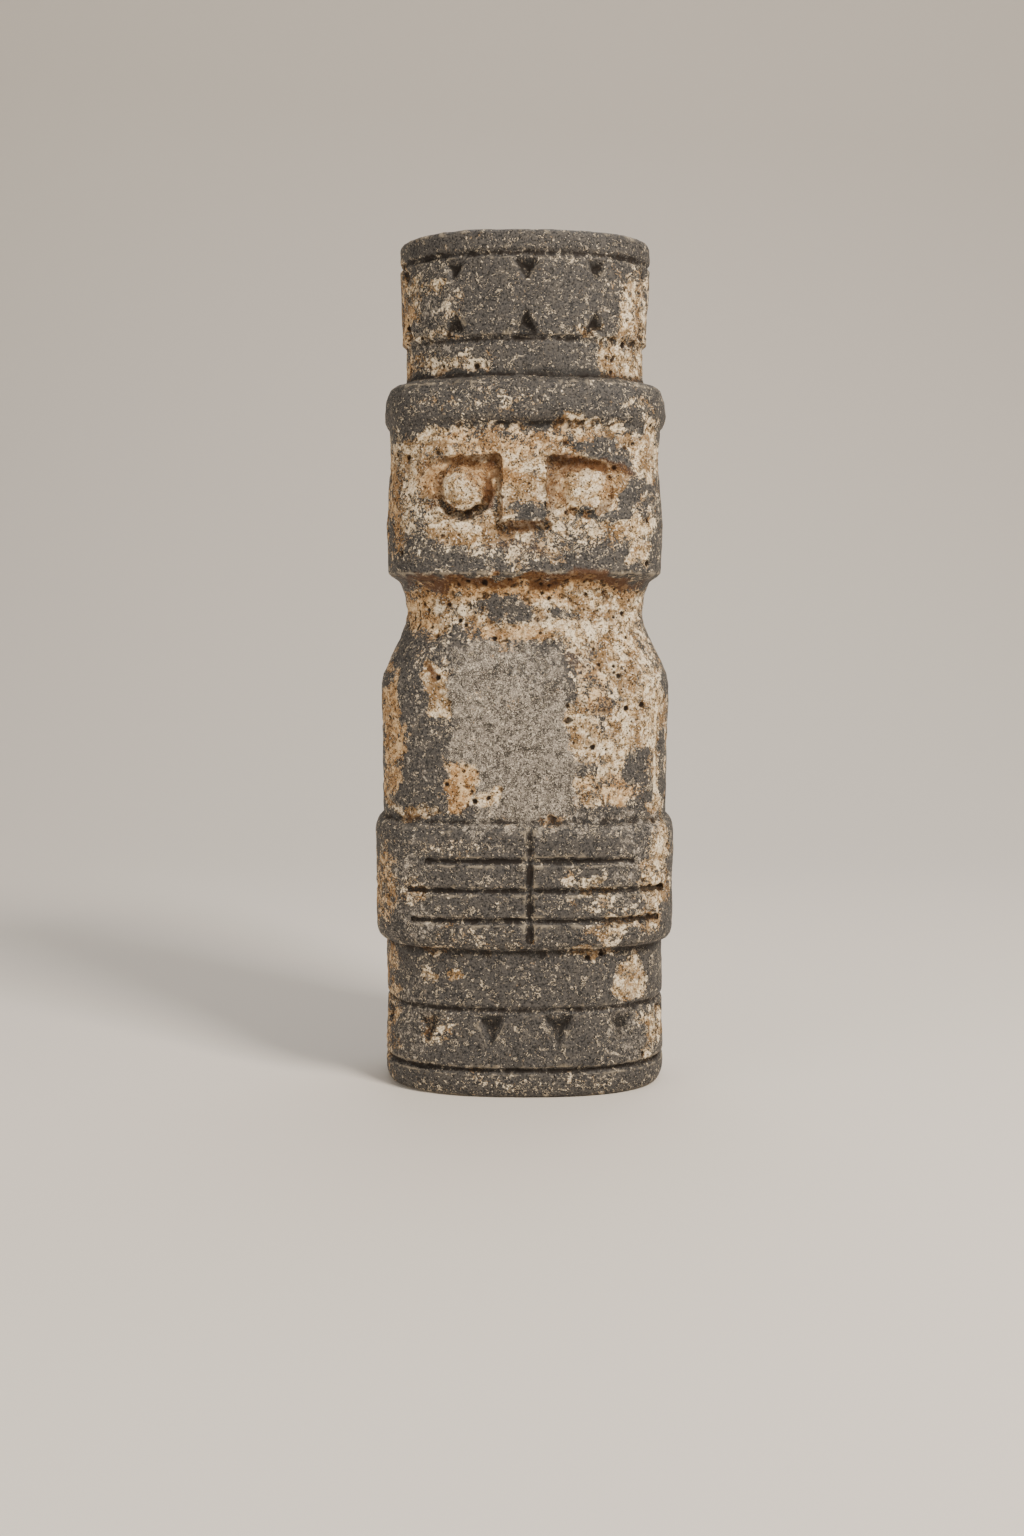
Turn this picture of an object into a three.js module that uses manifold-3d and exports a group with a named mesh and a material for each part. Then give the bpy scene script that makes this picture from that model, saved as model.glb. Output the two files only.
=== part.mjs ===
// A stone totem, carved from one block: a standing figure with a drum-shaped hat, a block face,
// a plain chest, two hands laid flat on the belly and a patterned foot.
// Millimetres, Z up. The figure looks along -Y and stands on its underside at Z = 0.

import * as THREE from 'three'
import { ConvexGeometry } from 'three/addons/geometries/ConvexGeometry.js'
import { mergeVertices } from 'three/addons/utils/BufferGeometryUtils.js'
import Module from 'manifold-3d'

const wasm = await Module()
wasm.setup()

// The block: half sizes of the chest, from which every other zone steps in or out
const chestHalfWidth = 61.9
const chestHalfDepth = 41.6

// Heights of the zones, from the ground up
const soleHeight = 11.9
const lowerFriezeHeight = 25.6
const skirtHeight = 25.5
const handsHeight = 54.5
const chestHeight = 55.5
const shoulderHeight = 31
const neckHeight = 16.6
const faceHeight = 60.9
const brimHeight = 18.5
const hatBandHeight = 15.5
const hatFriezeHeight = 34
const rimHeight = 10.5

// How far each zone stands out from the chest, at its sides and at its front and back
const footStep = { side: 0.1, front: 1.6 }
const skirtStep = { side: -0.7, front: 0.4 }
const handsStep = { side: 3.4, front: 3.8 }
const shoulderStep = { side: 0.9, front: 0.4 }
const neckStep = { side: -10.4, front: -5.5 }
const chinStep = { side: -2.8, front: 2.2 }
const jawStep = { side: -2.2, front: 2.2 }
const browStep = { side: -4.1, front: 0.8 }
const brimStep = { side: -1.4, front: 4.6 }
const hatBandStep = { side: -10.6, front: -1.6 }
const hatFriezeStep = { side: -9.2, front: -0.4 }
const rimStep = { side: -8.2, front: 0.2 }

// Squareness of each zone's section: 2 is an ellipse, larger is closer to a rectangle
const footSquareness = 2.45
const bodySquareness = 3
const handsSquareness = 3.3
const neckSquareness = 2.6
const faceSquareness = 3.3
const brimSquareness = 2.9
const hatSquareness = 2.15

// Worn edges, as the radius or the height of each round
const soleRound = 5
const handsRound = 6.5
const chinRound = 1.6
const brimRound = 5.5
const rimRound = 3.4

// How soon the brim turns out from the brow below it, how far its top leans to the hat, how far the
// shoulder has swelled at half its height, and how high on the face the jaw is widest
const brimUnderside = 0.12
const brimLean = 0.5
const shoulderSwell = 0.7
const jawShare = 1 / 3

// Incised lines that run right round the figure
const lineWidth = 2.8
const lineDepth = 2

// Chip-carved notches of the two friezes
const hatNotches = 10
const hatNotchWidth = 13
const hatNotchHeight = 11.6
const hatNotchDepth = 3.4
const lowerNotches = 12
const lowerNotchWidth = 15.5
const lowerNotchHeight = 15
const lowerNotchDepth = 3.6
const lowerNotchOffset = 0.5
const notchDeepShare = 0.5

// Hands: the gap between them and the lines between their fingers
const handGapX = 2.3
const handGapWidth = 2.8
const handGapDepth = 3.2
const handGapFoot = 4
const fingerLineWidth = 2.8
const fingerLineDepth = 2.3
const lowestFingerHeight = 13.4
const fingerHeight = 12.6
const leftFingerReach = [48, 49, 41]
const rightFingerReach = [57, 59, 46]

// Face: the eye hollows deepen from the cheek up to the brow and fade out towards the temples,
// and the nose stands between them
const browHeight = 13.1
const hollowHeight = 37
const hollowDepth = 4.8
const hollowFade = 0.6
const hollowFlatness = 1
const hollowOuterX = 49
const noseHalfWidth = 10.2
const noseHeight = 27.5
const noseProud = 2.6
const noseFlare = 0.6
const noseRootDepth = 10
const lipHollowHeight = 10
const lipHollowDepth = 2.2
const eyeX = 25
const eyeDrop = 13.1
const eyeRadius = 9.3
const eyeLineWidth = 4
const leftEye = { side: -1, proud: 4.2, lineDepth: 3.4 }
const rightEye = { side: 1, proud: 3.2, lineDepth: 1.2 }
const leftBrowFall = 2.5
const rightBrowFall = 8

// Fineness of the facets
const sectionPoints = 56
const roundSteps = 3
const slopeSteps = 6
const eyeSegments = 20

// Cutters reach this far past the surface that they open
const cutterReach = 12

// Levels, worked out from the zone heights
const soleLineZ = soleHeight
const skirtLineZ = soleLineZ + lowerFriezeHeight
const handsFootZ = skirtLineZ + skirtHeight
const handsTopZ = handsFootZ + handsHeight
const shoulderZ = handsTopZ + chestHeight
const neckZ = shoulderZ + shoulderHeight
const chinZ = neckZ + neckHeight
const brimFootZ = chinZ + faceHeight
const hatFootZ = brimFootZ + brimHeight
const tileLineZ = hatFootZ + hatBandHeight
const rimLineZ = tileLineZ + hatFriezeHeight
const topZ = rimLineZ + rimHeight
const browZ = brimFootZ - browHeight

function zoneSection(step, squareness) {
  const halfWidth = chestHalfWidth + step.side
  const halfDepth = chestHalfDepth + step.front
  return { halfWidth, halfDepth, squareness }
}

const foot = zoneSection(footStep, footSquareness)
const skirt = zoneSection(skirtStep, footSquareness)
const hands = zoneSection(handsStep, handsSquareness)
const chest = zoneSection({ side: 0, front: 0 }, bodySquareness)
const shoulder = zoneSection(shoulderStep, bodySquareness)
const neck = zoneSection(neckStep, neckSquareness)
const chin = zoneSection(chinStep, faceSquareness)
const jaw = zoneSection(jawStep, faceSquareness)
const brow = zoneSection(browStep, faceSquareness)
const brim = zoneSection(brimStep, brimSquareness)
const hatBand = zoneSection(hatBandStep, hatSquareness)
const hatFrieze = zoneSection(hatFriezeStep, hatSquareness)
const rim = zoneSection(rimStep, hatSquareness)

function inset(section, amount) {
  const halfWidth = section.halfWidth - amount
  const halfDepth = section.halfDepth - amount
  return { halfWidth, halfDepth, squareness: section.squareness }
}

function blend(from, to, share) {
  const mix = (key) => THREE.MathUtils.lerp(from[key], to[key], share)
  return { halfWidth: mix('halfWidth'), halfDepth: mix('halfDepth'), squareness: mix('squareness') }
}

// One point of a section's outline: a superellipse, with turn 0 at the front and turning to +X
function outlinePoint(section, turn) {
  const power = 2 / section.squareness
  const across = Math.sin(turn)
  const along = -Math.cos(turn)
  const x = section.halfWidth * Math.sign(across) * Math.abs(across) ** power
  const y = section.halfDepth * Math.sign(along) * Math.abs(along) ** power
  return new THREE.Vector2(x, y)
}

// How far in front of the middle plane a section's surface lies at a given X
function frontDepth(section, x) {
  const share = Math.abs(x) / section.halfWidth
  return section.halfDepth * (1 - share ** section.squareness) ** (1 / section.squareness)
}

function toSolid(geometry) {
  const bare = geometry.clone()
  bare.deleteAttribute('normal')
  bare.deleteAttribute('uv')
  const merged = mergeVertices(bare, 1e-4)
  const vertProperties = new Float32Array(merged.attributes.position.array)
  const triVerts = new Uint32Array(merged.index.array)
  return new wasm.Manifold(new wasm.Mesh({ numProp: 3, vertProperties, triVerts }))
}

function toGeometry(solid) {
  const mesh = solid.getMesh()
  const geometry = new THREE.BufferGeometry()
  geometry.setAttribute('position', new THREE.BufferAttribute(new Float32Array(mesh.vertProperties), 3))
  geometry.setIndex(new THREE.BufferAttribute(new Uint32Array(mesh.triVerts), 1))
  geometry.computeVertexNormals()
  return geometry
}

// A closed body through a stack of levels, each a section at its height, with a flat cap at both ends
function loft(levels) {
  const positions = []
  const faces = []
  for (const { z, section } of levels) {
    for (let i = 0; i < sectionPoints; i++) {
      const point = outlinePoint(section, (2 * Math.PI * i) / sectionPoints)
      positions.push(point.x, point.y, z)
    }
  }
  for (let row = 0; row < levels.length - 1; row++) {
    for (let i = 0; i < sectionPoints; i++) {
      const next = (i + 1) % sectionPoints
      const low = row * sectionPoints
      const high = low + sectionPoints
      faces.push(low + i, low + next, high + next)
      faces.push(low + i, high + next, high + i)
    }
  }
  const lastRow = (levels.length - 1) * sectionPoints
  for (let i = 1; i < sectionPoints - 1; i++) {
    faces.push(0, i + 1, i)
    faces.push(lastRow, lastRow + i, lastRow + i + 1)
  }
  const geometry = new THREE.BufferGeometry()
  geometry.setAttribute('position', new THREE.Float32BufferAttribute(positions, 3))
  geometry.setIndex(faces)
  return geometry
}

function level(z, section) {
  return { z, section }
}

// A line cut round the figure: the section narrows to the line's depth and comes back
function incisedLine(z, section) {
  return [
    level(z - lineWidth / 2, section),
    level(z, inset(section, lineDepth)),
    level(z + lineWidth / 2, section),
  ]
}

// Levels along a quarter round, from one section to another over a height.
// A convex round leaves the first section steeply, a hollow one leaves it slowly.
function quarterRound(z, height, from, to, convex) {
  const levels = []
  for (let i = 0; i <= roundSteps; i++) {
    const turn = (Math.PI / 2) * (i / roundSteps)
    const rise = convex ? 1 - Math.cos(turn) : Math.sin(turn)
    const share = convex ? Math.sin(turn) : 1 - Math.cos(turn)
    levels.push(level(z + height * rise, blend(from, to, share)))
  }
  return levels
}

// Levels along an S-shaped slope, as from the shoulder up to the neck
function softSlope(z, height, from, to) {
  const levels = []
  for (let i = 1; i < slopeSteps; i++) {
    const share = i / slopeSteps
    levels.push(level(z + height * share, blend(from, to, THREE.MathUtils.smoothstep(share, 0, 1))))
  }
  return levels
}

function bodyLevels() {
  return [
    ...quarterRound(0, soleRound, inset(foot, soleRound), foot, true),
    ...incisedLine(soleLineZ, foot),
    ...incisedLine(skirtLineZ, skirt),
    ...quarterRound(handsFootZ, handsRound, skirt, hands, true),
    ...quarterRound(handsTopZ, -handsRound, chest, hands, true).reverse(),
    level(shoulderZ - shoulderHeight / 2, blend(chest, shoulder, shoulderSwell)),
    level(shoulderZ, shoulder),
    ...softSlope(shoulderZ, shoulderHeight, shoulder, neck),
    ...quarterRound(neckZ, neckHeight - chinRound, neck, inset(chin, chinRound), false),
    level(chinZ, chin),
    level(chinZ + faceHeight * jawShare, jaw),
    level(browZ, brow),
    ...brimLevels(),
    level(tileLineZ - lineWidth / 2, hatBand),
    level(tileLineZ, inset(hatBand, lineDepth / 2)),
    level(tileLineZ + lineWidth / 2, hatFrieze),
    ...incisedLine(rimLineZ, rim),
    ...quarterRound(topZ, -rimRound, inset(rim, rimRound), rim, true).reverse(),
  ]
}

// The brim is a thick roll, fuller below than above
function brimLevels() {
  const belly = brimFootZ + brimRound
  const underside = blend(brow, brim, brimUnderside)
  const upperEdge = blend(brim, hatBand, brimLean)
  return [
    ...quarterRound(brimFootZ, brimRound, underside, brim, true),
    ...quarterRound(hatFootZ, belly - hatFootZ, upperEdge, brim, true).reverse().slice(1),
    level(hatFootZ + lineWidth / 2, hatBand),
  ]
}

// What lies between two heights outside a core, whose sections at the two heights are given.
// The core follows the body's surface, and pick keeps only the wanted part of the cut.
function skinCutter(lowZ, highZ, lowCore, highCore, pick) {
  const outer = inset(lowCore, -cutterReach)
  const shell = toSolid(loft([level(lowZ, outer), level(highZ, outer)]))
  const core = toSolid(
    loft([
      level(lowZ - cutterReach, lowCore),
      level(lowZ, lowCore),
      level(highZ, highCore),
      level(highZ + cutterReach, highCore),
    ]),
  )
  return shell.subtract(core).intersect(pick)
}

function box(lowX, highX, lowY, highY, lowZ, highZ) {
  const geometry = new THREE.BoxGeometry(highX - lowX, highY - lowY, highZ - lowZ)
  geometry.translate((lowX + highX) / 2, (lowY + highY) / 2, (lowZ + highZ) / 2)
  return toSolid(geometry)
}

// The part of the space in front of the figure between two values of X
function frontSlice(lowX, highX) {
  return box(lowX, highX, -chestHalfDepth - 2 * cutterReach, 0, 0, topZ)
}

// Where a frieze's notches stand: even steps of arc length round a section, with the outward turn
function arcPlaces(section, count, offset) {
  const fine = 720
  const outline = []
  for (let i = 0; i <= fine; i++) {
    outline.push(outlinePoint(section, (2 * Math.PI * i) / fine))
  }
  const lengths = [0]
  for (let i = 1; i <= fine; i++) {
    lengths.push(lengths[i - 1] + outline[i].distanceTo(outline[i - 1]))
  }
  const places = []
  for (let i = 0; i < count; i++) {
    const wanted = (lengths[fine] * (i + offset)) / count
    const after = Math.max(1, lengths.findIndex((length) => length >= wanted))
    const chord = outline[after].clone().sub(outline[after - 1])
    places.push({ point: outline[after], turn: Math.atan2(chord.y, chord.x) })
  }
  return places
}

// A notch: a three-sided chip, deepest between its straight edge and its tip, which is up or down
function notchCutter(width, height, depth, tipDirection) {
  const tip = tipDirection * height
  const deepest = new THREE.Vector3(0, depth, tip * notchDeepShare)
  const splay = (depth + cutterReach) / depth
  const mouth = [
    new THREE.Vector3(-width / 2, 0, 0),
    new THREE.Vector3(width / 2, 0, 0),
    new THREE.Vector3(0, 0, tip),
  ]
  const farMouth = mouth.map((corner) => corner.sub(deepest).multiplyScalar(splay).add(deepest))
  return new ConvexGeometry([deepest, ...farMouth])
}

function cutNotches(body, section, count, offset, z, notch) {
  let carved = body
  for (const { point, turn } of arcPlaces(section, count, offset)) {
    const placed = notch.clone()
    placed.rotateZ(turn)
    placed.translate(point.x, point.y, z)
    carved = carved.subtract(toSolid(placed))
  }
  return carved
}

function cutFriezes(body) {
  const edge = lineWidth / 4
  const hatDown = notchCutter(hatNotchWidth, hatNotchHeight, hatNotchDepth, -1)
  const hatUp = notchCutter(hatNotchWidth, hatNotchHeight, hatNotchDepth, 1)
  const lowerDown = notchCutter(lowerNotchWidth, lowerNotchHeight, lowerNotchDepth, -1)
  let carved = cutNotches(body, rim, hatNotches, 0, rimLineZ - edge, hatDown)
  carved = cutNotches(carved, hatFrieze, hatNotches, 0, tileLineZ + edge, hatUp)
  return cutNotches(carved, skirt, lowerNotches, lowerNotchOffset, skirtLineZ - edge, lowerDown)
}

// One straight line between two fingers, cut as a groove that follows the hands' surface
function fingerLine(z, lowX, highX) {
  const pick = frontSlice(lowX, highX)
  const half = fingerLineWidth / 2
  const floor = inset(hands, fingerLineDepth)
  const lower = skinCutter(z - half, z, hands, floor, pick)
  const upper = skinCutter(z, z + half, floor, hands, pick)
  return lower.add(upper)
}

function cutHands(body) {
  const half = handGapWidth / 2
  const gapFloor = frontDepth(hands, handGapX) - handGapDepth
  const gapMouth = gapFloor + handGapDepth + cutterReach
  const splay = (half * (gapMouth - gapFloor)) / handGapDepth
  const gap = new THREE.Shape()
  gap.moveTo(0, gapFloor)
  gap.lineTo(splay, gapMouth)
  gap.lineTo(-splay, gapMouth)
  gap.closePath()
  const gapGeometry = new THREE.ExtrudeGeometry(gap, { depth: handsHeight - handGapFoot, bevelEnabled: false })
  gapGeometry.rotateZ(Math.PI)
  gapGeometry.translate(handGapX, 0, handsFootZ + handGapFoot)
  let carved = body.subtract(toSolid(gapGeometry))
  for (let i = 0; i < leftFingerReach.length; i++) {
    const z = handsFootZ + lowestFingerHeight + fingerHeight * i
    carved = carved.subtract(fingerLine(z, -leftFingerReach[i], handGapX))
    carved = carved.subtract(fingerLine(z, handGapX, rightFingerReach[i]))
  }
  return carved
}

// A flat dome with a line cut round it, set into the eye hollow and turned to face along the surface
function carveEye(body, eye) {
  const x = eye.side * eyeX
  const z = browZ - eyeDrop
  const hollow = hollowDepth * (1 - eyeDrop / hollowHeight)
  const floor = frontDepth(jaw, x) - hollow
  const nudge = 1
  const slope = (frontDepth(jaw, x + nudge) - frontDepth(jaw, x - nudge)) / (2 * nudge)
  const outer = eyeRadius + eyeLineWidth
  const groove = new THREE.LatheGeometry(
    [
      new THREE.Vector2(eyeRadius, cutterReach / 3),
      new THREE.Vector2(eyeRadius + eyeLineWidth / 4, -eye.lineDepth),
      new THREE.Vector2(outer, cutterReach / 3),
      new THREE.Vector2(eyeRadius, cutterReach / 3),
    ],
    eyeSegments,
  )
  const dome = new THREE.SphereGeometry(eyeRadius, eyeSegments, eyeSegments / 2)
  dome.scale(1, eye.proud / eyeRadius, 1)
  const place = (geometry) => {
    geometry.rotateX(Math.PI)
    geometry.rotateZ(-Math.atan(slope))
    geometry.translate(x, -floor, z)
    return toSolid(geometry)
  }
  return body.subtract(place(groove)).add(place(dome))
}

function noseBlock() {
  const bridge = frontDepth(brow, 0)
  const tipZ = browZ - noseHeight
  const root = bridge - noseRootDepth
  const tip = bridge + noseProud
  return new ConvexGeometry([
    new THREE.Vector3(-noseHalfWidth, -root, browZ),
    new THREE.Vector3(noseHalfWidth, -root, browZ),
    new THREE.Vector3(-noseHalfWidth + noseFlare, -bridge, browZ),
    new THREE.Vector3(noseHalfWidth - noseFlare, -bridge, browZ),
    new THREE.Vector3(-noseHalfWidth - noseFlare, -root, tipZ),
    new THREE.Vector3(noseHalfWidth + noseFlare, -root, tipZ),
    new THREE.Vector3(-noseHalfWidth, -tip, tipZ),
    new THREE.Vector3(noseHalfWidth, -tip, tipZ),
  ])
}

// The floor of an eye hollow: flatter than the face, so that it meets the face again at the temples
function flatter(section, depth) {
  const halfDepth = section.halfDepth - depth
  return { halfWidth: section.halfWidth, halfDepth, squareness: section.squareness + hollowFlatness }
}

// The space in front of one eye hollow. Its top edge falls away from the nose by some degrees.
function hollowSlice(side, fall) {
  const width = hollowOuterX - noseHalfWidth
  const depth = chestHalfDepth + 2 * cutterReach
  const slice = new THREE.BoxGeometry(width, depth, topZ)
  slice.translate((side * width) / 2, -depth / 2, -topZ / 2)
  slice.rotateY(side * THREE.MathUtils.degToRad(fall))
  slice.translate(side * noseHalfWidth, 0, browZ)
  return toSolid(slice)
}

function carveFace(body) {
  const hollowFootZ = browZ - hollowHeight
  const cheek = flatter(jaw, -hollowFade)
  const floor = flatter(jaw, hollowDepth)
  let carved = body
  for (const [side, fall] of [[-1, leftBrowFall], [1, rightBrowFall]]) {
    const pick = hollowSlice(side, fall)
    carved = carved.subtract(skinCutter(hollowFootZ, browZ, cheek, floor, pick))
  }
  const lipZ = browZ - noseHeight
  const lipSlice = frontSlice(-noseHalfWidth - noseFlare, noseHalfWidth + noseFlare)
  carved = carved.subtract(skinCutter(lipZ - lipHollowHeight, lipZ, jaw, inset(jaw, lipHollowDepth), lipSlice))
  carved = carveEye(carved, leftEye)
  carved = carveEye(carved, rightEye)
  return carved.add(toSolid(noseBlock()))
}

function totemFigure() {
  const block = toSolid(loft(bodyLevels()))
  const solid = carveFace(cutHands(cutFriezes(block)))
  const stone = new THREE.MeshStandardMaterial({ color: 0x75695d, roughness: 0.85, metalness: 0 })
  const mesh = new THREE.Mesh(toGeometry(solid), stone)
  mesh.name = 'totem_figure'
  return mesh
}

const totem = new THREE.Group()
totem.add(totemFigure())

export default totem
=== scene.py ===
import math

import bpy
import numpy as np
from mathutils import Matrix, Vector, noise
from mathutils.kdtree import KDTree


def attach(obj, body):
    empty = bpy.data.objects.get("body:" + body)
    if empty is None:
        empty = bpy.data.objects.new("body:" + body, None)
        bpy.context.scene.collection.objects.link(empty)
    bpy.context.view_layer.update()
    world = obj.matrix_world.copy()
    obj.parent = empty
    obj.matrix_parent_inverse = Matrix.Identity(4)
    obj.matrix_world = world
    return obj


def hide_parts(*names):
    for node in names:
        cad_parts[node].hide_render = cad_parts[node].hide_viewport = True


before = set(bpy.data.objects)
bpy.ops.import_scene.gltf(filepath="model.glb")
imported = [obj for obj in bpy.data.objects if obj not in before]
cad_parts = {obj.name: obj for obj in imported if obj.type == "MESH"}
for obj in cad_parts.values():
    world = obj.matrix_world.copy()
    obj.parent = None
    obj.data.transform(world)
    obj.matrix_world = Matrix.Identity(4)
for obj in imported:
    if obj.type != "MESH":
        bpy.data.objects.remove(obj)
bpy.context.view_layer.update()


# The carved block
# The totem is one piece of dense dark volcanic stone. It was roughed out with a point chisel, its
# lines and notches were cut with a narrow blade, and it was rubbed smooth, so no edge is sharp.
MM = 0.001
weld_distance = 0.01 * MM
grain_size = 0.7 * MM
edge_wear = 0.5
edge_wear_passes = 1

cut_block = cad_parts["totem_figure"]
bpy.ops.object.select_all(action="DESELECT")
figure = cut_block.copy()
figure.data = cut_block.data.copy()
figure.parent = None
figure.name = "totem_stone"
bpy.context.collection.objects.link(figure)
figure.select_set(True)
bpy.context.view_layer.objects.active = figure
figure.data.materials.clear()

bpy.ops.object.mode_set(mode="EDIT")
bpy.ops.mesh.select_all(action="SELECT")
bpy.ops.mesh.remove_doubles(threshold=weld_distance)
bpy.ops.object.mode_set(mode="OBJECT")


def shape_with(kind, **settings):
    """Adds one modifier to the figure with these settings and applies it."""
    modifier = figure.modifiers.new(kind.title(), kind)
    for name, value in settings.items():
        setattr(modifier, name, value)
    bpy.ops.object.modifier_apply(modifier=modifier.name)


shape_with("REMESH", mode="VOXEL", voxel_size=grain_size, use_smooth_shade=True)
shape_with("SMOOTH", factor=edge_wear, iterations=edge_wear_passes)


# The weathered skin
# Most of the stone keeps a dark, hand-worn skin. In patches, most of all on the face, the neck and
# the chest, the skin has gone or is covered by a pale lime crust, cream to tan. A mark is an ellipse,
# in millimetres from the middle of the underside: x, z, half width, half height, lean and strength.
def smooth_ramp(low, high, value):
    """0 below the low value, 1 above the high one and a smooth rise between them."""
    share = np.clip((value - low) / (high - low), 0.0, 1.0)
    return share * share * (3.0 - 2.0 * share)


def mottle(points, size, octaves, seed):
    """Soft random mottling about 0, of one patch size in metres."""
    shift = Vector((seed * 7.31, seed * 3.17, seed * 5.71))
    return np.array([noise.fractal(Vector(p) / size + shift, 1.0, 2.1, octaves) for p in points])


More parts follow.
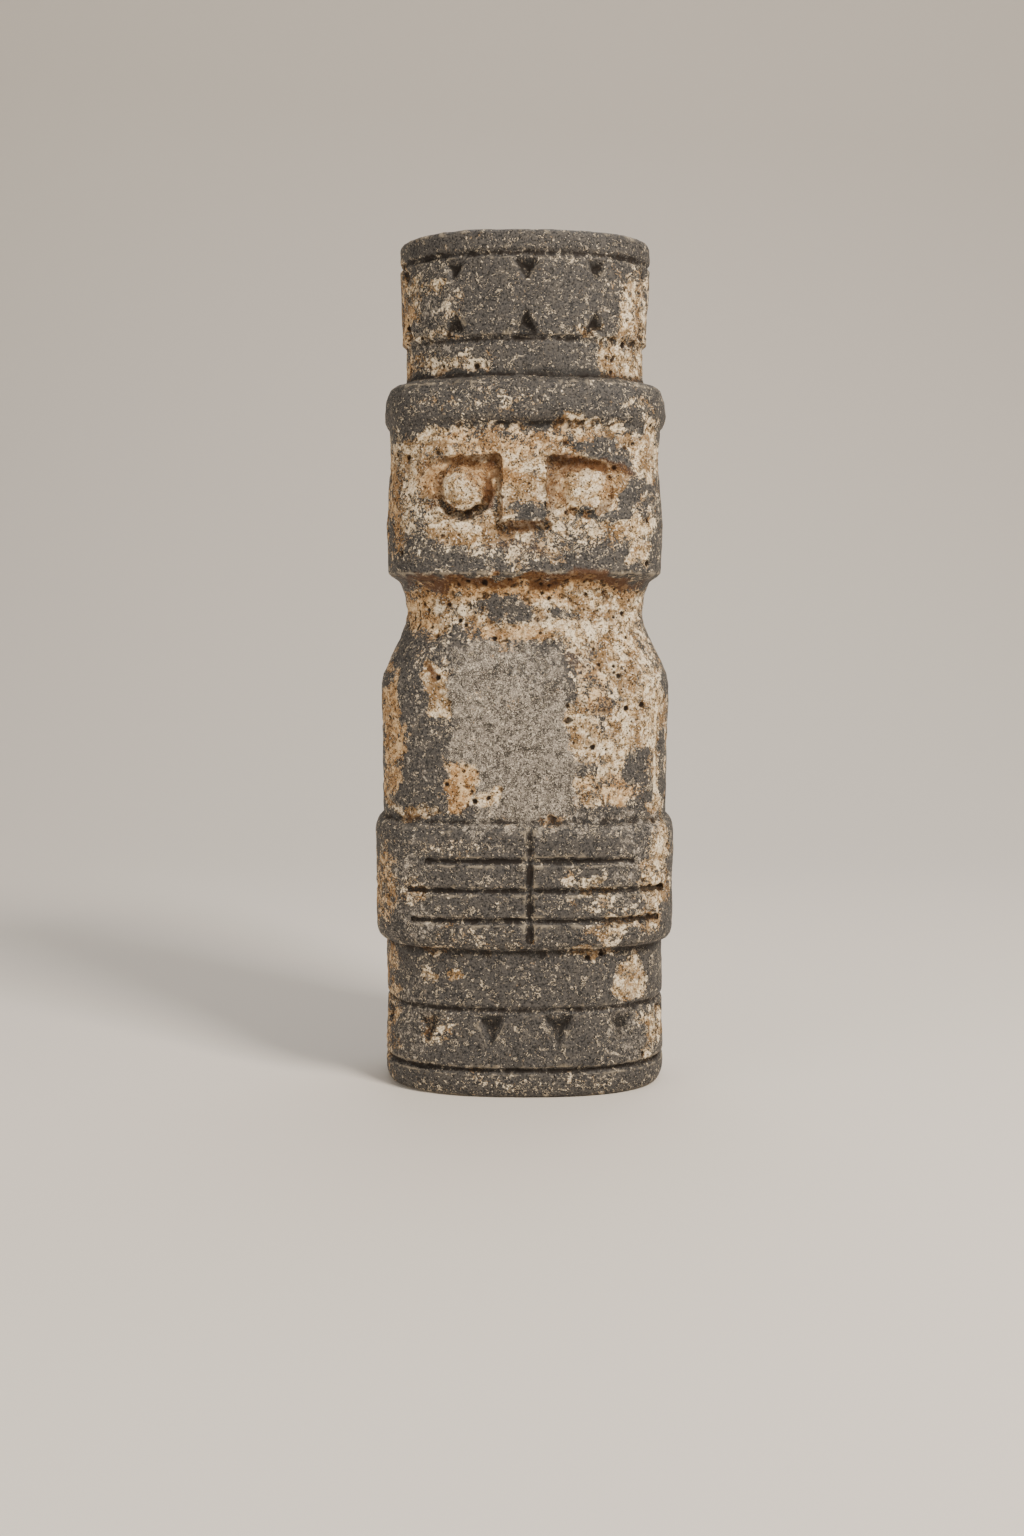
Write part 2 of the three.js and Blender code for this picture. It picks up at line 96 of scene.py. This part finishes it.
# Crust marks say how limed the stone is, and tan ones how tan the lime is. Pale marks are rubbed grey
# skin, brown ones are stains and painted shade, and fading ones have less dirt and painted shade in
# their cut lines. The front's marks are read off the photograph, the back's suit them. The lean is in
# degrees.
front_marks = {
    "pale": [
        (-1, 148, 32, 36, 0, 0.95),
        (-10, 186, 26, 10, 0, 0.7),
        (-24, 171, 12, 14, 0, 0.8),
        (6, 178, 14, 12, 0, 0.6),
        (-46, 158, 8.5, 34, 0, 0.28),
        (20, 117, 16, 4, 0, 0.5),
        (-18, 116, 14, 4, 0, 0.5),
        (46, 116, 12, 5, 0, 0.5),
        (-48, 88, 12, 28, 0, 0.4),
        (46, 98, 14, 18, 0, 0.4),
        (-48, 30, 12, 20, 0, 0.35),
        (44, 28, 12, 14, 0, 0.35),
        (-38, 274, 15, 5, 10, 1.0),
        (-38, 326, 18, 22, 0, 0.4),
    ],
    "tan": [
        (-24, 260, 24, 10, 0, 0.9),
        (24, 258, 20, 10, 0, 0.7),
        (0, 275, 44, 6, 0, 0.6),
        (-57, 245, 6, 34, 0, 0.9),
        (0, 215, 60, 6, 0, 1.0),
        (-46, 203, 10, 14, 0, 0.8),
        (-6, 197, 26, 5, 0, 0.6),
        (28, 175, 5, 14, 20, 0.8),
        (-27, 133, 8, 13, 10, 1.0),
        (13, 120, 5, 3, 0, 0.6),
        (36, 132, 12, 9, 0, 0.8),
        (-57, 155, 6, 40, 0, 0.9),
        (-61, 90, 8, 26, 0, 0.8),
        (-60, 35, 7, 40, 0, 0.8),
        (-51, 322, 5, 34, 0, 0.8),
        (23, 256, 10, 8, 0, 0.1),
        (-26, 254, 8, 8, 0, 0.4),
    ],
    # Brown marks: stains on the chest, and painted shade under the brows, beside and under the nose
    # and under the chin
    "stain_and_shade": [
        (-26, 266, 20, 3.5, 4, 0.8),
        (30, 264.5, 22, 4, -8, 0.7),
        (-13, 256, 4, 13, 0, 0.95),
        (11, 257, 2.5, 11, 0, 0.4),
        (-37, 250, 3, 8, 0, 0.4),
        (0, 238.5, 12, 2.5, 0, 0.6),
        (-4, 231, 18, 5, 0, 0.35),
        (0, 217.5, 60, 3, 0, 0.9),
        (22, 218.5, 20, 3.5, 0, 1.0),
        (-30, 262, 24, 8, 0, 0.4),
        (-38, 181.5, 2.8, 4.5, 8, 1.0),
        (24, 189, 6, 8, 0, 0.4),
        (30, 168, 4, 10, 20, 0.3),
    ],
    # Fading marks lessen the dirt and painted shade in the cut lines
    "cut_line_fade": [
        (0, 254, 52, 25, 0, 0.85),
        (-20, 247, 12, 8, 0, 0.1),
        (0, 27, 64, 8, 0, 0.45),
    ],
    "crust": [
        # The face
        (0, 254, 64, 30, 0, 0.68),
        (32, 278, 28, 4, -4, 0.72),
        (-47, 271, 12, 12, 0, 0.66),
        (-22, 258, 24, 13, 0, 0.8),
        (24, 255, 20, 12, 0, 1.05),
        (-1, 258, 8, 11, 0, 0.85),
        (-26, 254, 8, 8, 0, 1.0),
        (-28, 238, 12, 5, 0, 0.86),
        (44, 240, 12, 7, 0, 0.84),
        (51, 272, 9, 12, 0, 0.8),
        (-40, 275, 17, 6, 8, 0.8),
        (-53, 250, 6, 30, 0, 0.6),
        (3, 244, 9, 5, 0, 0.05),
        (48, 255, 8, 4, 38, 0.1),
        (39, 248, 8, 3.5, 40, 0.0),
        (26, 242, 12, 2.2, 22, 0.2),
        (-12, 247.5, 3, 4, 40, 0.1),
        (31, 271, 17, 4, -20, 0.12),
        (-36, 226, 22, 4.5, -4, 0.14),
        (27, 226, 13, 4.5, 0, 0.15),
        (48, 229, 8, 6, 0, 0.74),
        (-4, 230, 17, 6, 0, 0.48),
        # The neck and the chest
        (0, 207, 60, 15, 0, 0.84),
        (-41, 204, 14, 8, 0, 0.8),
        (-40, 192, 10, 5, 0, 0.3),
        (-8, 208, 15, 5, 3, 0.0),
        (16, 204, 8, 3.5, -20, 0.2),
        (40, 168, 22, 40, 0, 0.8),
        (28, 196, 18, 12, 0, 0.74),
        (24, 184, 6, 8, -20, 0.45),
        (25, 155, 7, 16, 0, 0.85),
        (32, 166, 3.5, 13, 15, 0.55),
        (36, 171, 7, 2.5, -30, 0.45),
        (46, 141, 5, 10, -25, 0.04),
        (50, 121, 6, 5, 0, 0.1),
        (58, 135, 4, 34, 0, 0.76),
        (-46, 158, 8.5, 34, 0, 0.05),
        (-35.5, 172, 4.5, 15, 9, 1.0),
        (-38, 181, 6, 6.5, 0, 1.0),
        (-27, 133, 8, 13, 10, 1.1),
        (-14, 126, 6, 5, 0, 0.8),
        (13, 120, 5, 3, 0, 0.5),
        (33, 129, 16, 8, 0, 0.7),
        (-44, 121, 14, 5, 0, 0.7),
        (-57, 155, 5, 38, 0, 0.72),
        # The hands and the foot
        (-48, 88, 10, 6, 0, 0.55),
        (-61, 90, 7, 22, 0, 0.56),
        (38, 73, 16, 6, 10, 0.58),
        (55, 77, 6, 6, 0, 0.66),
        (24, 94, 12, 3, 0, 0.58),
        (56, 95, 8, 20, 0, 0.66),
        (28, 63, 14, 3, 0, 0.66),
        (-36, 63, 10, 3, 0, 0.56),
        (45, 48, 10, 11, 0, 0.8),
        (-43, 51, 4, 6, 0, 0.72),
        (-31, 50, 4, 4, 0, 0.84),
        (-38, 27, 10, 7, 0, 0.45),
        (55, 25, 6, 14, 0, 0.68),
        (-60, 35, 6, 40, 0, 0.5),
        # The hat
        (42, 309, 14, 9, 0, 0.88),
        (47, 328, 8, 20, 0, 0.6),
        (-32, 307, 20, 5, 0, 0.6),
        (-50, 330, 6, 30, 0, 0.55),
        (-40, 338, 8, 5, 10, 0.56),
        (-36, 318, 12, 3.5, 0, 0.54),
        (27, 320, 5, 4, 0, 0.66),
        (46, 290, 10, 5, 0, 0.55),
        (-20, 290, 30, 5, 0, 0.34),
        (-32, 329, 10, 6, 0, 0.36),
        (12, 330, 12, 10, 0, 0.02),
        # Flecked lines on the hands and the foot, and the bare skin between them
        (-30, 108, 26, 4, 0, 0.34),
        (34, 84, 20, 5, 0, 0.36),
        (-20, 70, 26, 5, 0, 0.34),
        (0, 50, 20, 9, 0, 0.03),
        (-20, 6, 34, 4, 0, 0.25),
        (24, 6, 24, 4, 0, 0.25),
    ],
}
back_marks = {
    "pale": [(6, 158, 22, 34, 8, 0.8), (24, 138, 18, 14, -20, 0.7)],
    "tan": [(0, 214, 60, 9, 0, 0.8), (52, 150, 8, 50, 0, 0.8), (-34, 180, 8, 20, 12, 0.7)],
    # Painted shade under the back of the head
    "stain_and_shade": [(0, 217.5, 60, 3, 0, 0.85)],
    "cut_line_fade": [],
    "crust": [
        (0, 210, 60, 12, 0, 0.84),
        (-32, 182, 9, 24, 12, 0.84),
        (-16, 190, 20, 7, 20, 0.74),
        (-40, 152, 6, 18, -12, 0.66),
        (14, 188, 18, 5, -14, 0.6),
        (36, 256, 7, 24, -14, 0.78),
        (24, 240, 16, 6, 25, 0.68),
        (-44, 246, 7, 22, 8, 0.66),
        (-22, 268, 24, 5, 4, 0.56),
        (-14, 308, 26, 5, 0, 0.66),
        (-36, 326, 6, 18, 8, 0.6),
        (40, 322, 6, 24, 0, 0.62),
        (-54, 90, 6, 22, 0, 0.6),
        (30, 74, 20, 4, 6, 0.56),
        (34, 48, 8, 12, 14, 0.7),
        (-20, 22, 18, 6, 0, 0.5),
    ],
}


# A mark is whole out to one share of its ellipse and ends at another. The marks of the front pass
# into those of the back over a few millimetres on each side of the middle.
mark_core = 0.6
mark_end = 1.15
side_blend = 6


def paint(points, drift, kind, ground):
    """How much of one kind of weathering each point has, once the drift has made the marks ragged."""
    amount = np.full(len(points), ground)
    x, y, z = (points / MM).T
    for side, marks in ((-1, front_marks), (1, back_marks)):
        facing = smooth_ramp(-side_blend, side_blend, side * y)
        for mark_x, mark_z, half_width, half_height, lean, strength in marks[kind]:
            right = x + drift[0] - mark_x
            up = z + drift[1] - mark_z
            along = right * math.cos(math.radians(lean)) + up * math.sin(math.radians(lean))
            across = up * math.cos(math.radians(lean)) - right * math.sin(math.radians(lean))
            distance = np.hypot(along / half_width, across / half_height)
            reach = (1.0 - smooth_ramp(mark_core, mark_end, distance)) * facing
            amount += (strength - amount) * reach
    return amount


def vertex_array(layer, attribute, width):
    """One attribute of every vertex, one row for each."""
    values = np.empty(len(layer) * width, dtype=np.float32)
    layer.foreach_get(attribute, values)
    return values.reshape(-1, width)


drift_reach = 6.0
points = vertex_array(figure.data.vertices, "co", 3)
broad_mottle = mottle(points, 15 * MM, 3, seed=1)
small_mottle = mottle(points, 4 * MM, 3, seed=2)
drift = [drift_reach * mottle(points, 11 * MM, 4, seed) for seed in (3, 4)]
crust = paint(points, drift, "crust", 0.05) + 0.16 * broad_mottle + 0.16 * small_mottle
tan = paint(points, drift, "tan", 0.2) + 0.2 * broad_mottle
pale = paint(points, drift, "pale", 0.12) + 0.12 * small_mottle
# Brown: stains, and painted shade under the brows, by the nose and under the chin
stain_and_shade = paint(points, drift, "stain_and_shade", 0.0) + 0.1 * small_mottle
# Less dirt and painted shade in the cut lines
cut_line_fade = paint(points, drift, "cut_line_fade", 0.0)

# Wear spares the lowest edge, in millimetres, so that the totem stands flat
unworn_height = 0.3
fully_worn_height = 3.0
skin_starts_to_go = 0.4
skin_is_gone = 0.62
weight_steps = 10
above_ground = smooth_ramp(unworn_height, fully_worn_height, points[:, 2] / MM)
bare_of_skin = smooth_ramp(skin_starts_to_go, skin_is_gone, crust) * above_ground
for name, values in (("above_ground", above_ground), ("bare_of_skin", bare_of_skin)):
    group = figure.vertex_groups.new(name=name)
    steps = np.round(values * weight_steps).astype(int)
    for step in range(1, weight_steps + 1):
        group.add(np.flatnonzero(steps == step).tolist(), step / weight_steps, "REPLACE")


# Wear, dents and pits
# Wear has left the faces gently uneven, the skin has small dents from the tool, and where the skin
# is gone the surface lies a little lower and has round pits, where bubbles in the stone were cut
# open. All of it goes inwards.
def wear(name, size, depth, group, **settings):
    """Sinks the figure's surface by up to one depth, in a random pattern of one size."""
    texture = bpy.data.textures.new(name, "CLOUDS")
    texture.noise_scale = size
    for setting, value in settings.items():
        setattr(texture, setting, value)
    shape_with(
        "DISPLACE",
        texture=texture,
        texture_coords="LOCAL",
        direction="NORMAL",
        mid_level=0.0,
        strength=-depth,
        vertex_group=group,
    )


wear("uneven_faces", 24 * MM, depth=1.1 * MM, group="above_ground", noise_depth=1)
wear("tool_dents", 5 * MM, depth=0.4 * MM, group="above_ground", noise_depth=2, contrast=1.6)
wear("lost_skin", 3 * MM, depth=0.8 * MM, group="bare_of_skin", noise_depth=2, contrast=1.8)

chance = np.random.default_rng(7)
pit_count = 520
smallest_pit = 0.9 * MM
largest_pit = 1.8 * MM
pit_steepness = 0.65
small_pit_bias = 4
nearly_bare = 0.8
faint_pit = 0.3 * MM
deep_pit = 0.9 * MM
hole_x = -36 * MM
hole_z = 178 * MM
points = vertex_array(figure.data.vertices, "co", 3)
normals = vertex_array(figure.data.vertex_normals, "vector", 3)

# The first pit is the hole high on the chest, and the others lie where the skin is gone
off_the_hole = np.hypot(points[:, 0] - hole_x, points[:, 2] - hole_z)
chest_hole = int(np.argmin(off_the_hole + points[:, 1]))
bare_points = np.flatnonzero(bare_of_skin > nearly_bare)
pit_places = [chest_hole, *chance.choice(bare_points, pit_count, replace=False)]
pit_growth = (largest_pit - smallest_pit) * chance.random(pit_count) ** small_pit_bias
pit_sizes = [largest_pit, *(smallest_pit + pit_growth)]
tree = KDTree(len(points))
for index, point in enumerate(points):
    tree.insert(point, index)
tree.balance()
pit_depth = np.zeros(len(points), dtype=np.float32)
for middle, size in zip(pit_places, pit_sizes):
    for _, index, distance in tree.find_range(points[middle], size):
        bowl = pit_steepness * size * (1.0 - (distance / size) ** 2)
        pit_depth[index] = max(pit_depth[index], bowl)
figure.data.vertices.foreach_set("co", (points - normals * pit_depth[:, None]).ravel())


def store(amounts):
    """Stores one amount for every point of the figure under each name, from 0 to 1."""
    for name, values in amounts.items():
        layer = figure.data.attributes.new(name + "_amount", "FLOAT", "POINT")
        layer.data.foreach_set("value", np.clip(values, 0, 1).astype(np.float32))


store({"crust": crust, "tan": tan, "pale": pale, "stain_and_shade": stain_and_shade, "cut_line_fade": cut_line_fade})
# How deep each pit is, for the dirt and painted shade in the pits
store({"pit": smooth_ramp(faint_pit, deep_pit, pit_depth)})

triangle_limit = 195_000
triangles = 2 * len(figure.data.polygons)
shape_with("DECIMATE", ratio=min(1.0, triangle_limit / triangles), use_collapse_triangulate=True)
bpy.ops.object.shade_smooth()


# Dirt and painted shade in the hollows, painted highlights on the edges
# Near-black dirt and painted shade lie in the cut lines and the pits, the broad hollows have painted
# shade, and convex edges have a painted highlight. How hollow a point is comes from how far the stone
# round it rises above it, near by for the cut lines and the edges, and further away for the broad
# hollows.
points = vertex_array(figure.data.vertices, "co", 3).astype(float)
normals = vertex_array(figure.data.vertex_normals, "vector", 3)
edge_ends = np.empty(len(figure.data.edges) * 2, dtype=np.int32)
figure.data.edges.foreach_get("vertices", edge_ends)
first, second = edge_ends.reshape(-1, 2).T
neighbours = np.bincount(first, minlength=len(points)) + np.bincount(second, minlength=len(points))
softened = points.copy()
near_rounds = 4
further_rounds = 30
rises = []
for rounds in (near_rounds, further_rounds):
    for _ in range(rounds):
        total = np.zeros_like(softened)
        for axis in range(3):
            total[:, axis] += np.bincount(first, softened[second, axis], len(points))
            total[:, axis] += np.bincount(second, softened[first, axis], len(points))
        softened = total / neighbours[:, None]
    rises.append(np.einsum("ij,ij->i", softened - points, normals) / MM)
near_rise, far_rise = rises

# The rise in millimetres where each amount starts, and where it is full
store({
    # Dirt and painted shade in the cut lines and notches
    "groove": smooth_ramp(0.08, 0.36, near_rise),
    # Painted shade in the broad hollows
    "hollow_shade": smooth_ramp(0.1, 0.9, far_rise),
    # Painted highlight on the convex edges
    "edge": smooth_ramp(0.3, 0.55, -near_rise),
})


# Weathered volcanic stone
# A fine-grained dark grey stone, rubbed and then buried or left outdoors: matt, with cream lime in
# its scratches, and a rough, pitted cream to tan crust. It gives the eye a dull, dry face that is
# covered all over with thin crooked strokes, pale on the dark skin and dark on the lime.
def srgb(hex_value):
    """An sRGB hex colour as linear red, green, blue and alpha."""
    channels = [int(hex_value[i : i + 2], 16) / 255 for i in (1, 3, 5)]
    linear = [c / 12.92 if c <= 0.04045 else ((c + 0.055) / 1.055) ** 2.4 for c in channels]
    return (*linear, 1.0)


stone = bpy.data.materials.new("weathered_volcanic_stone")
stone.use_nodes = True
stone.node_tree.nodes.clear()


def add(kind, inputs, output=0, **properties):
    """Adds one node to the stone, sets or links its inputs, and gives one of its outputs, if any."""
    node = stone.node_tree.nodes.new(kind)
    for name, value in properties.items():
        setattr(node, name, value)
    for name, value in inputs.items():
        if isinstance(value, bpy.types.NodeSocket):
            stone.node_tree.links.new(value, node.inputs[name])
        else:
            node.inputs[name].default_value = value
    return node.outputs[output] if node.outputs else None


# Patterns: grain size in millimetres, detail and how far the pattern is twisted
place = add("ShaderNodeTexCoord", {}, "Object")
pattern = {}
for name, size, detail, twist in (
    ("stain", 8.0, 4, 0.6),
    ("cloud", 3.4, 3, 0.8),
    ("patch_edge", 1.9, 2, 1.8),
    ("grain", 0.8, 2, 0.0),
    ("short_stroke", 1.25, 0, 1.5),
    ("long_stroke", 2.5, 1, 2.0),
):
    settings = {"Vector": place, "Scale": 1 / (size * MM), "Detail": detail, "Distortion": twist}
    pattern[name] = add("ShaderNodeTexNoise", settings)

# A stroke runs where its pattern is near its middle value, and breaks off now and then
for name, breaker, share in (("short_stroke", "grain", 0.25), ("long_stroke", "cloud", 0.4)):
    from_middle = add("ShaderNodeMath", {0: pattern[name], 1: 0.5}, operation="SUBTRACT")
    from_middle = add("ShaderNodeMath", {0: from_middle}, operation="ABSOLUTE")
    broken = add("ShaderNodeMath", {0: pattern[breaker], 1: 0.5}, operation="SUBTRACT")
    terms = {0: broken, 1: share, 2: from_middle}
    pattern[name] = add("ShaderNodeMath", terms, operation="MULTIPLY_ADD")
bubble_size = 1.7 * MM
pattern["bubble"] = add("ShaderNodeTexVoronoi", {"Vector": place, "Scale": 1 / bubble_size})
for name in ("crust", "tan", "pale", "stain_and_shade", "cut_line_fade", "pit", "groove", "hollow_shade", "edge"):
    pattern[name] = add("ShaderNodeAttribute", {}, "Fac", attribute_name=name + "_amount")

# The dirt and painted shade in the cut lines fade out on the face, and in part in the lower notches.
# They lie thick and thin elsewhere.
cut_line_kept = add("ShaderNodeMath", {0: 1.0, 1: pattern["cut_line_fade"]}, operation="SUBTRACT")
cut_line_patchiness = {"Value": pattern["cloud"], "From Min": 0.36, "From Max": 0.56, "To Min": 0.35}
uneven = add("ShaderNodeMapRange", cut_line_patchiness)
for share in (cut_line_kept, uneven):
    pattern["groove"] = add("ShaderNodeMath", {0: pattern["groove"], 1: share}, operation="MULTIPLY")

# The pale patches and the lime break up into curls at their edges
for name, ragged_by, share in (
    ("pale", "patch_edge", 1.2),
    ("pale", "cloud", 1.4),
    ("crust", "patch_edge", 1.6),
    ("crust", "cloud", 1.4),
):
    terms = {0: pattern[ragged_by], 1: share, 2: pattern[name]}
    pattern[name] = add("ShaderNodeMath", terms, operation="MULTIPLY_ADD")
limed = {"Value": pattern["crust"], "From Min": 1.9, "From Max": 2.1}
pattern["limed"] = add("ShaderNodeMapRange", limed)

# Each surface is a ground with layers over it: the pattern that carries the layer, the pattern's
# values where the layer starts and where it is full, its strength, and its colour or surface
surfaces = {
    "dark_skin": (
        "#3f3e3e",
        ("cloud", 0.44, 0.62, 0.8, "#57534e"),
        ("stain", 0.46, 0.32, 0.5, "#222223"),
        ("short_stroke", 0.04, 0.01, 0.15, "#7f776e"),
        ("long_stroke", -0.01, -0.026, 0.9, "#d3c3a8"),
        ("bubble", 0.13, 0.08, 0.8, "#ecdfca"),
        ("grain", 0.52, 0.64, 0.6, "#5f5b57"),
        ("grain", 0.48, 0.36, 0.8, "#131314"),
        # Painted shade: near-black in the broad hollows
        ("hollow_shade", 0.1, 1.0, 0.65, "#161514"),
    ),
    "pale_skin": (
        "#5b5650",
        ("cloud", 0.42, 0.6, 0.9, "#857d74"),
        ("stain", 0.48, 0.34, 0.8, "#413c37"),
        ("short_stroke", 0.08, 0.02, 0.85, "#ddd2c0"),
        ("long_stroke", 0.015, -0.01, 0.8, "#2b2825"),
        ("grain", 0.48, 0.34, 0.8, "#24211e"),
        ("bubble", 0.16, 0.1, 0.85, "#2a231d"),
    ),
    "cream_lime": (
        "#cdb086",
        ("cloud", 0.45, 0.6, 1.0, "#f2e2c4"),
        ("stain", 0.54, 0.38, 0.85, "#86663f"),
        ("short_stroke", 0.055, 0.015, 0.65, "#5a4938"),
        ("long_stroke", 0.03, 0.0, 0.85, "#2f2822"),
        ("grain", 0.58, 0.7, 0.7, "#fff6e6"),
        ("grain", 0.44, 0.34, 0.6, "#6b5638"),
        ("bubble", 0.26, 0.17, 0.9, "#1b1510"),
        # Painted shade: brown in the broad hollows
        ("hollow_shade", 0.1, 1.0, 0.6, "#4f321c"),
    ),
    "tan_lime": (
        "#b58a5a",
        ("cloud", 0.42, 0.62, 0.85, "#dcb988"),
        ("stain", 0.5, 0.36, 0.7, "#7c5835"),
        ("short_stroke", 0.055, 0.015, 0.55, "#5d432b"),
        ("long_stroke", 0.03, 0.0, 0.75, "#33251a"),
        ("grain", 0.58, 0.7, 0.6, "#f3dfba"),
        ("bubble", 0.26, 0.17, 0.9, "#1b130c"),
        # Painted shade: brown in the broad hollows
        ("hollow_shade", 0.1, 1.0, 0.6, "#4f321c"),
    ),
    "lime": (
        "cream_lime",
        ("tan", 0.2, 1.0, 0.85, "tan_lime"),
    ),
    "whole_figure": (
        "dark_skin",
        ("pale", 1.65, 1.95, 1.0, "pale_skin"),
        ("limed", 0.0, 1.0, 1.0, "lime"),
        # Painted highlight along the convex edges
        ("edge", 0.1, 1.0, 0.35, "#c4b59b"),
        # Stains, and painted shade under the brows, by the nose and under the chin
        ("stain_and_shade", 0.1, 0.9, 0.8, "#57371e"),
        # Dirt and painted shade in the pits
        ("pit", 0.1, 1.0, 0.85, "#2a1c12"),
        # Dirt and painted shade in the cut lines and notches
        ("groove", 0.1, 1.0, 0.9, "#1a130e"),
    ),
}

# The colour inputs A and B of a mixing node, and its colour output, can only be told by number
colour_a = 6
colour_b = 7
mixed_colour = 2
surface = {}
for name, (ground, *layers) in surfaces.items():
    colour = surface[ground] if ground in surface else srgb(ground)
    for source, start, full, strength, tone in layers:
        over = surface[tone] if tone in surface else srgb(tone)
        reach = {"Value": pattern[source], "From Min": start, "From Max": full, "To Max": strength}
        amount = add("ShaderNodeMapRange", reach, interpolation_type="SMOOTHSTEP")
        mixed = {"Factor": amount, colour_a: colour, colour_b: over}
        colour = add("ShaderNodeMix", mixed, mixed_colour, data_type="RGBA")
    surface[name] = colour

# Fine relief: grains and burst bubbles, with the lime standing a little below the skin
relief = add("ShaderNodeMapRange", {"Value": pattern["bubble"], "From Min": 0.1, "From Max": 0.28})
relief = add("ShaderNodeMath", {0: pattern["grain"], 1: relief}, operation="ADD")
relief = add("ShaderNodeMath", {0: pattern["limed"], 1: -0.5, 2: relief}, operation="MULTIPLY_ADD")
bumps = add("ShaderNodeBump", {"Strength": 0.6, "Distance": 0.35 * MM, "Height": relief})
dullness = add("ShaderNodeMapRange", {"Value": pattern["limed"], "To Min": 0.66, "To Max": 0.9})
shown = {
    "Base Color": surface["whole_figure"],
    "Roughness": dullness,
    "Normal": bumps,
    "IOR": 1.5,
    "Specular IOR Level": 0.25,
}
add("ShaderNodeOutputMaterial", {"Surface": add("ShaderNodeBsdfPrincipled", shown)})
figure.data.materials.append(stone)

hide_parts("totem_figure")
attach(figure, "root")


# The studio
# The totem stands on a plain pale sweep of paper that rises behind it, under a soft light from above
# on the right, a weaker one from the left, a faint one from behind and the pale room round it.
sweep_size = 4.0
sweep_back = 1.6
sweep_rise = 3.0
sweep_bend = 1.0
bpy.ops.object.select_all(action="DESELECT")
bpy.ops.mesh.primitive_plane_add(size=sweep_size, location=(0, sweep_back - sweep_size / 2, 0))
sweep = bpy.context.object
sweep.name = "paper_sweep"
bpy.ops.object.transform_apply(location=True)
bpy.ops.object.mode_set(mode="EDIT")
bpy.ops.mesh.select_mode(type="EDGE")
bpy.ops.mesh.select_all(action="DESELECT")
bpy.ops.object.mode_set(mode="OBJECT")
for edge in sweep.data.edges:
    edge.select = all(sweep.data.vertices[i].co.y > sweep_back - MM for i in edge.vertices)
bpy.ops.object.mode_set(mode="EDIT")
bpy.ops.mesh.extrude_region_move(TRANSFORM_OT_translate={"value": (0, 0, sweep_rise)})
bpy.ops.object.mode_set(mode="OBJECT")
bend = sweep.modifiers.new("bend", "BEVEL")
bend.width = sweep_bend
bend.segments = 16
bend.limit_method = "ANGLE"
bpy.context.view_layer.objects.active = sweep
bpy.ops.object.modifier_apply(modifier=bend.name)
bpy.ops.object.shade_smooth()
paper = bpy.data.materials.new("pale_backdrop_paper")
paper.use_nodes = True
paper.node_tree.nodes["Principled BSDF"].inputs["Base Color"].default_value = srgb("#e6e0d8")
paper.node_tree.nodes["Principled BSDF"].inputs["Roughness"].default_value = 0.9
sweep.data.materials.append(paper)


lit_height = 0.19


def soft_light(name, position, size, watts, colour):
    """A square soft light that faces the middle of the totem."""
    bpy.ops.object.light_add(type="AREA", location=position)
    light = bpy.context.object
    light.name = name
    light.data.size = size
    light.data.energy = watts
    light.data.color = srgb(colour)[:3]
    middle = Vector((0, 0, lit_height))
    light.rotation_euler = (middle - Vector(position)).to_track_quat("-Z", "Y").to_euler()


soft_light("key", (0.8, -0.85, 1.15), size=0.4, watts=31, colour="#fff4e6")
soft_light("fill", (-1.2, -0.9, 0.3), size=1.0, watts=9, colour="#fff4e6")
soft_light("top", (0.1, 0.5, 1.3), size=0.8, watts=6, colour="#ffffff")
room_brightness = 0.42
room = bpy.data.worlds.new("pale_room")
room.use_nodes = True
room.node_tree.nodes["Background"].inputs["Color"].default_value = srgb("#e6e0d8")
room.node_tree.nodes["Background"].inputs["Strength"].default_value = room_brightness
bpy.context.scene.world = room


# The camera
# It stands straight in front of the totem, at the height of its neck, and looks slightly down, as
# the photograph was taken.
picture_height = 1536
lens_in_pixels = 1756
film_height = 36.0
camera_height = 0.2141
camera_distance = 0.766
look_down = 5.8
look_left = 0.408
bpy.ops.object.camera_add(location=(0, -camera_distance, camera_height))
camera = bpy.context.object
camera.data.lens = film_height * lens_in_pixels / picture_height
camera.data.sensor_width = film_height
camera.rotation_euler = (math.radians(90 - look_down), 0, math.radians(look_left))
bpy.context.scene.camera = camera
